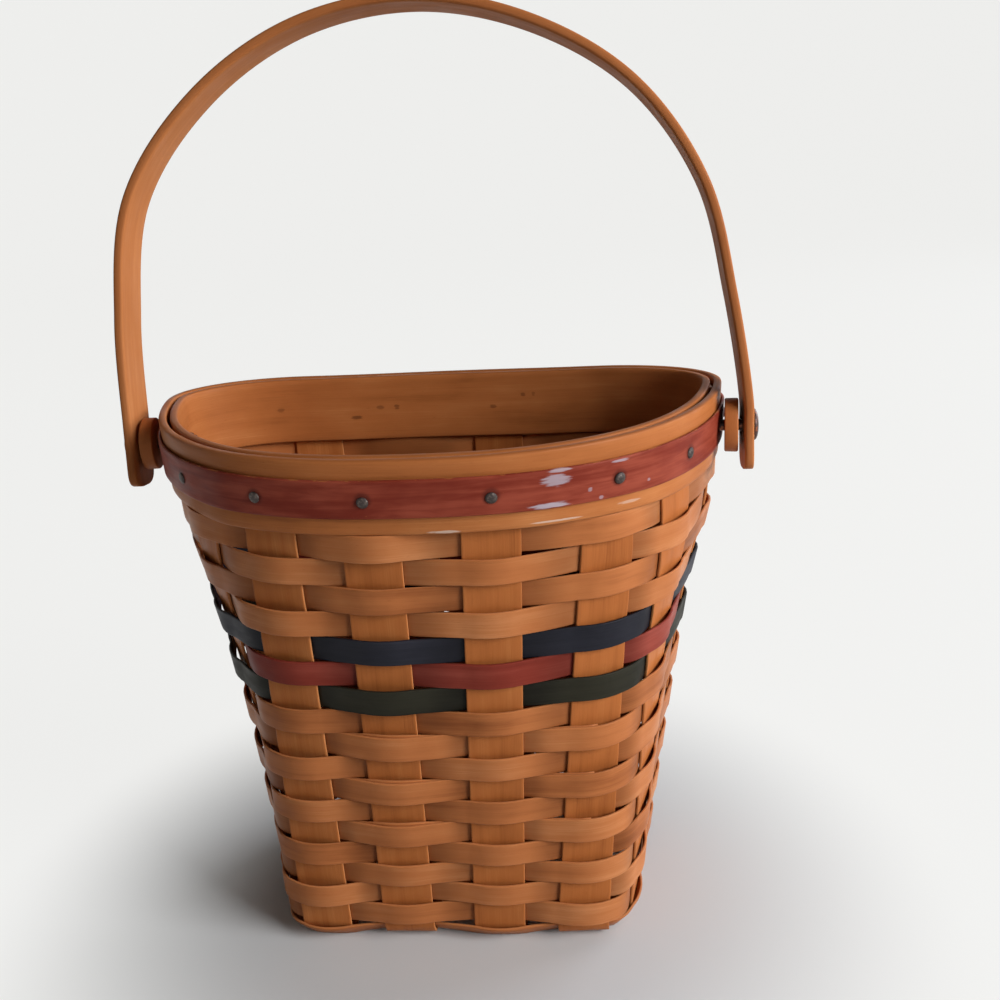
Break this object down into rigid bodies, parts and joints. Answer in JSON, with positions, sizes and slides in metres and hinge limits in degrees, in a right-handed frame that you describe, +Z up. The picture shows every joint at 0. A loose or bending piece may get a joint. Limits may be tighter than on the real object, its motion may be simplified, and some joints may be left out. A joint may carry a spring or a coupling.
{
  "type": "wall harvest basket",
  "caption": "Half-round splint basket with a flat back, doubled rim bands, a painted strip and a bent-wood swing handle on riveted pivots.",
  "frame": {"origin": "middle of the width and depth, at the underside of the base", "axes": "+Z up, -Y towards the rounded front, +Y towards the flat back, X across the width"},
  "size_m": [0.2294, 0.1238, 0.3351],
  "materials": {
    "splint_wood": "oiled, satin",
    "weaver_wood": "oiled, satin",
    "dyed_navy": "stained, satin",
    "dyed_red": "stained, satin",
    "dyed_green": "stained, satin",
    "band_wood": "oiled, satin",
    "painted_strip": "painted, worn satin",
    "handle_wood": "oiled, satin",
    "spacer_wood": "oiled, satin",
    "tack_steel": "dulled",
    "rivet_copper": "dark aged copper"
  },
  "bodies": {
    "basket": {"splint_front_back_1": "splint_wood", "splint_front_back_2": "splint_wood", "splint_front_back_3": "splint_wood", "splint_front_back_4": "splint_wood", "splint_side_front": "splint_wood", "splint_side_rear": "splint_wood", "weaver_01": "weaver_wood", "weaver_02": "weaver_wood", "weaver_03": "weaver_wood", "weaver_04": "weaver_wood", "weaver_05": "dyed_navy", "weaver_06": "dyed_red", "weaver_07": "dyed_green", "weaver_08": "weaver_wood", "weaver_09": "weaver_wood", "weaver_10": "weaver_wood", "weaver_11": "weaver_wood", "weaver_12": "weaver_wood", "weaver_13": "weaver_wood", "weaver_14": "weaver_wood", "weaver_15": "weaver_wood", "weaver_16": "weaver_wood", "weaver_17": "weaver_wood", "weaver_18": "weaver_wood", "inner_band": "band_wood", "outer_band": "band_wood", "trim_strip": "painted_strip", "tack_01": "tack_steel", "tack_02": "tack_steel", "tack_03": "tack_steel", "tack_04": "tack_steel", "tack_05": "tack_steel", "tack_06": "tack_steel", "tack_07": "tack_steel", "tack_08": "tack_steel", "tack_09": "tack_steel", "tack_10": "tack_steel", "tack_11": "tack_steel", "tack_12": "tack_steel", "spacer_right": "spacer_wood", "spacer_left": "spacer_wood", "rivet_right": "rivet_copper", "rivet_left": "rivet_copper", "washer_right": "rivet_copper", "washer_left": "rivet_copper"},
    "swing_handle": {"handle": "handle_wood"}
  },
  "joints": [
    {"name": "handle_swing", "type": "hinge", "parent": "basket", "child": "swing_handle", "pos_m": [0, 0.01179, 0.1864], "axis": [1, 0, 0], "range_deg": [-145, 160]}
  ]
}
